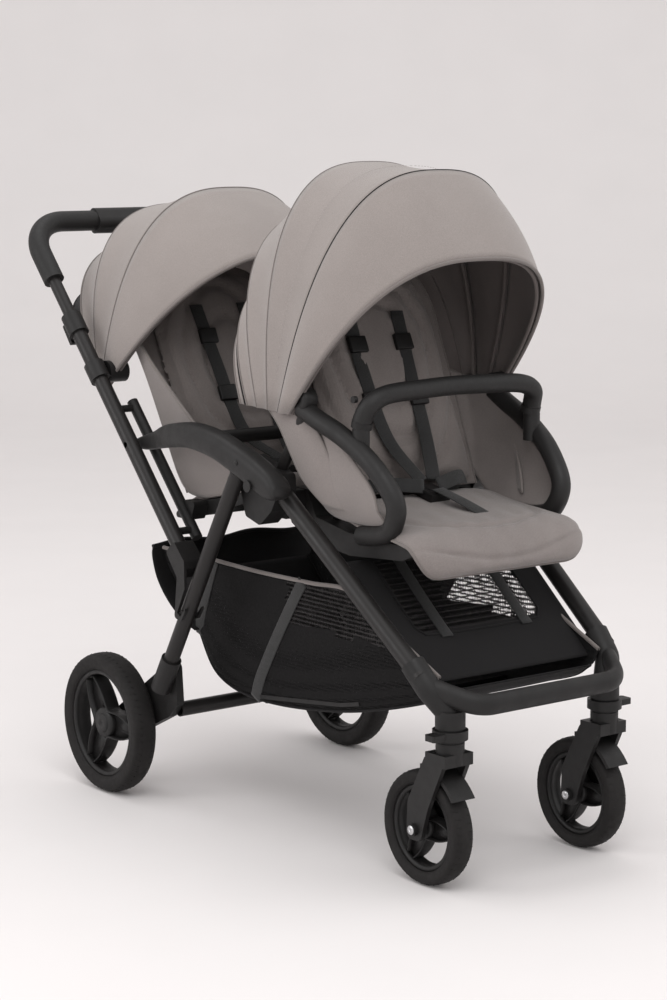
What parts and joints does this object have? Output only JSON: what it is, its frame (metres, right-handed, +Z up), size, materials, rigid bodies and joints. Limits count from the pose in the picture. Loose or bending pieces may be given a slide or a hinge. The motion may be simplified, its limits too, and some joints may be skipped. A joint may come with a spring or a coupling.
{
  "type": "tandem double stroller",
  "caption": "Folding inline double pushchair with two forward-facing seats, canopies, a shared basket, swivel front wheels and braked rear wheels.",
  "frame": {"origin": "on the floor, under the middle of the overall length and width", "axes": "+Z up, -Y is the direction of travel, +X is the left-hand side facing forward"},
  "size_m": [0.535, 1.0981, 1.044],
  "materials": {
    "frame_metal": "satin",
    "bare_steel": "satin",
    "black_plastic": "matte",
    "tyre_rubber": "matte",
    "grip_foam": "satin",
    "grey_fabric": "matte",
    "inner_fabric": "matte",
    "black_mesh": "matte"
  },
  "bodies": {
    "front_frame": {"front_tubes": "frame_metal", "front_corner_castings": "black_plastic", "front_crossbar": "black_plastic", "frame_hubs": "black_plastic", "front_arm_tubes": "frame_metal", "front_seat_base": "black_plastic", "front_seat_pad": "grey_fabric", "front_buckle": "black_plastic", "basket": "black_mesh", "basket_floor": "black_plastic", "front_canopy_fabric": "grey_fabric"},
    "rear_legs": {"rear_leg_tubes": "frame_metal", "rear_leg_brackets": "black_plastic", "rear_axles": "bare_steel", "rear_cross_tube": "frame_metal"},
    "armrests": {"armrest_shells": "black_plastic", "rear_guard_bar": "black_plastic"},
    "handle_frame": {"handle_lower_tubes": "frame_metal", "handle_hook_brackets": "black_plastic", "handle_collars": "black_plastic", "rear_seat_base": "black_plastic", "rear_seat_pad": "inner_fabric", "rear_buckle": "black_plastic", "rear_canopy_fabric": "grey_fabric"},
    "handlebar": {"handlebar_tube": "frame_metal", "handle_grips": "grip_foam", "handle_housing": "black_plastic"},
    "fold_button": {"fold_button": "black_plastic"},
    "height_lever_left": {"height_lever_left": "black_plastic"},
    "height_lever_right": {"height_lever_right": "black_plastic"},
    "front_canopy_bow_1": {"front_canopy_bow_1": "frame_metal"},
    "front_canopy_bow_2": {"front_canopy_bow_2": "frame_metal"},
    "front_canopy_rim": {"front_canopy_bow_3": "frame_metal"},
    "rear_canopy_bow_1": {"rear_canopy_bow_1": "frame_metal"},
    "rear_canopy_rim": {"rear_canopy_bow_2": "frame_metal"},
    "front_backrest": {"front_back_board": "black_plastic", "front_back_pad": "grey_fabric"},
    "rear_backrest": {"rear_back_board": "black_plastic", "rear_back_pad": "inner_fabric"},
    "leg_rest": {"leg_rest_board": "black_plastic"},
    "snack_bar": {"snack_bar": "grip_foam"},
    "snack_bar_button": {"snack_bar_button": "black_plastic"},
    "brake_pedal": {"brake_pedal": "black_plastic"},
    "brake_pin_left": {"brake_pin_left": "bare_steel"},
    "brake_pin_right": {"brake_pin_right": "bare_steel"},
    "front_buckle_button": {"front_buckle_button": "black_plastic"},
    "rear_buckle_button": {"rear_buckle_button": "black_plastic"},
    "caster_left": {"caster_fork_left": "black_plastic"},
    "front_wheel_left": {"front_tyre_left": "tyre_rubber", "front_rim_left": "black_plastic"},
    "swivel_lock_left": {"swivel_lock_left": "black_plastic"},
    "rear_wheel_left": {"rear_tyre_left": "tyre_rubber", "rear_rim_left": "black_plastic"},
    "caster_right": {"caster_fork_right": "black_plastic"},
    "front_wheel_right": {"front_tyre_right": "tyre_rubber", "front_rim_right": "black_plastic"},
    "swivel_lock_right": {"swivel_lock_right": "black_plastic"},
    "rear_wheel_right": {"rear_tyre_right": "tyre_rubber", "rear_rim_right": "black_plastic"}
  },
  "joints": [
    {"name": "frame_fold", "type": "hinge", "parent": "front_frame", "child": "rear_legs", "pos_m": [0, -0.0873, 0.573], "axis": [1, 0, 0], "range_deg": [-75.5, 0], "deforming": ["basket"]},
    {"name": "armrest_fold", "type": "hinge", "parent": "front_frame", "child": "armrests", "pos_m": [0, -0.1393, 0.558], "axis": [1, 0, 0], "range_deg": [-73.6, 0]},
    {"name": "handle_fold", "type": "hinge", "parent": "armrests", "child": "handle_frame", "pos_m": [0, 0.21087, 0.58349], "axis": [1, 0, 0], "range_deg": [0, 3.1]},
    {"name": "handle_height", "type": "slide", "parent": "handle_frame", "child": "handlebar", "axis": [0, -0.6739, -0.7389], "range_m": [0, 0.07]},
    {"name": "fold_button_press", "type": "slide", "parent": "handlebar", "child": "fold_button", "axis": [0, 0.6739, 0.7389], "range_m": [0, 0.004], "stiffness_N_per_m": 600},
    {"name": "height_lever_left_squeeze", "type": "hinge", "parent": "handle_frame", "child": "height_lever_left", "pos_m": [0.2315, 0.40067, 0.76235], "axis": [1, 0, 0], "range_deg": [0, 9], "stiffness_Nm_per_rad": 0.6},
    {"name": "height_lever_right_squeeze", "type": "hinge", "parent": "handle_frame", "child": "height_lever_right", "pos_m": [-0.2315, 0.40067, 0.76235], "axis": [1, 0, 0], "range_deg": [0, 9], "stiffness_Nm_per_rad": 0.6},
    {"name": "front_canopy_fold", "type": "hinge", "parent": "front_frame", "child": "front_canopy_bow_1", "pos_m": [0, -0.1993, 0.69], "axis": [-1, 0, 0], "range_deg": [0, 20], "deforming": ["front_canopy_fabric"]},
    {"name": "front_canopy_fold_2", "type": "hinge", "parent": "front_canopy_bow_1", "child": "front_canopy_bow_2", "pos_m": [0, -0.1993, 0.69], "axis": [-1, 0, 0], "range_deg": [0, 22]},
    {"name": "front_canopy_fold_3", "type": "hinge", "parent": "front_canopy_bow_2", "child": "front_canopy_rim", "pos_m": [0, -0.1993, 0.69], "axis": [-1, 0, 0], "range_deg": [0, 22]},
    {"name": "rear_canopy_fold", "type": "hinge", "parent": "handle_frame", "child": "rear_canopy_bow_1", "pos_m": [0, 0.31063, 0.69286], "axis": [-1, 0, 0], "range_deg": [0, 34], "deforming": ["rear_canopy_fabric"]},
    {"name": "rear_canopy_fold_2", "type": "hinge", "parent": "rear_canopy_bow_1", "child": "rear_canopy_rim", "pos_m": [0, 0.31063, 0.69286], "axis": [-1, 0, 0], "range_deg": [0, 36]},
    {"name": "front_recline", "type": "hinge", "parent": "front_frame", "child": "front_backrest", "pos_m": [0, -0.1933, 0.526], "axis": [-1, 0, 0], "range_deg": [0, 18]},
    {"name": "rear_recline", "type": "hinge", "parent": "handle_frame", "child": "rear_backrest", "pos_m": [0, 0.1627, 0.491], "axis": [-1, 0, 0], "range_deg": [0, 16]},
    {"name": "leg_rest_lift", "type": "hinge", "parent": "front_frame", "child": "leg_rest", "pos_m": [0, -0.4113, 0.486], "axis": [-1, 0, 0], "range_deg": [0, 70]},
    {"name": "snack_bar_swing", "type": "hinge", "parent": "front_frame", "child": "snack_bar", "pos_m": [0.166, -0.3033, 0.684], "axis": [0, 0, 1], "range_deg": [0, 80]},
    {"name": "snack_bar_release", "type": "slide", "parent": "snack_bar", "child": "snack_bar_button", "axis": [1, 0, 0], "range_m": [0, 0.003], "stiffness_N_per_m": 500},
    {"name": "caster_swivel_left", "type": "hinge", "parent": "front_frame", "child": "caster_left", "pos_m": [0.1525, -0.49195, 0.222], "axis": [0, 0, 1], "continuous": true},
    {"name": "front_wheel_left_spin", "type": "hinge", "parent": "caster_left", "child": "front_wheel_left", "pos_m": [0.1525, -0.44395, 0.0854], "axis": [1, 0, 0], "continuous": true},
    {"name": "swivel_lock_left_turn", "type": "hinge", "parent": "front_frame", "child": "swivel_lock_left", "pos_m": [0.1525, -0.49195, 0.233], "axis": [0, 0, 1], "range_deg": [0, 25]},
    {"name": "rear_wheel_left_spin", "type": "hinge", "parent": "rear_legs", "child": "rear_wheel_left", "pos_m": [0.247, 0.26535, 0.116], "axis": [1, 0, 0], "continuous": true},
    {"name": "caster_swivel_right", "type": "hinge", "parent": "front_frame", "child": "caster_right", "pos_m": [-0.1525, -0.49195, 0.222], "axis": [0, 0, -1], "continuous": true},
    {"name": "front_wheel_right_spin", "type": "hinge", "parent": "caster_right", "child": "front_wheel_right", "pos_m": [-0.1525, -0.44395, 0.0854], "axis": [1, 0, 0], "continuous": true},
    {"name": "swivel_lock_right_turn", "type": "hinge", "parent": "front_frame", "child": "swivel_lock_right", "pos_m": [-0.1525, -0.49195, 0.233], "axis": [0, 0, 1], "range_deg": [-25, 0]},
    {"name": "rear_wheel_right_spin", "type": "hinge", "parent": "rear_legs", "child": "rear_wheel_right", "pos_m": [-0.247, 0.26535, 0.116], "axis": [1, 0, 0], "continuous": true},
    {"name": "brake_pedal_press", "type": "hinge", "parent": "rear_legs", "child": "brake_pedal", "pos_m": [0, 0.1157, 0.16], "axis": [-1, 0, 0], "range_deg": [0, 20]},
    {"name": "brake_pin_left_slide", "type": "slide", "parent": "rear_legs", "child": "brake_pin_left", "axis": [1, 0, 0], "range_m": [0, 0.0082]},
    {"name": "brake_pin_right_slide", "type": "slide", "parent": "rear_legs", "child": "brake_pin_right", "axis": [-1, 0, 0], "range_m": [0, 0.0082]},
    {"name": "front_buckle_press", "type": "slide", "parent": "front_frame", "child": "front_buckle_button", "axis": [0, 0.2079, -0.9781], "range_m": [0, 0.002], "stiffness_N_per_m": 400},
    {"name": "rear_buckle_press", "type": "slide", "parent": "handle_frame", "child": "rear_buckle_button", "axis": [0, -0.225, -0.9744], "range_m": [0, 0.002], "stiffness_N_per_m": 400}
  ],
  "couplings": [
    {"joint": "armrest_fold", "follows": "frame_fold", "ratio": 0.974},
    {"joint": "handle_fold", "follows": "frame_fold", "ratio": -0.04},
    {"joint": "front_canopy_fold_2", "follows": "front_canopy_fold", "ratio": 1.1},
    {"joint": "front_canopy_fold_3", "follows": "front_canopy_fold", "ratio": 1.1},
    {"joint": "rear_canopy_fold_2", "follows": "rear_canopy_fold", "ratio": 1.05},
    {"joint": "brake_pin_left_slide", "follows": "brake_pedal_press", "m_per_rad": 0.022918},
    {"joint": "brake_pin_right_slide", "follows": "brake_pedal_press", "m_per_rad": 0.022918}
  ]
}
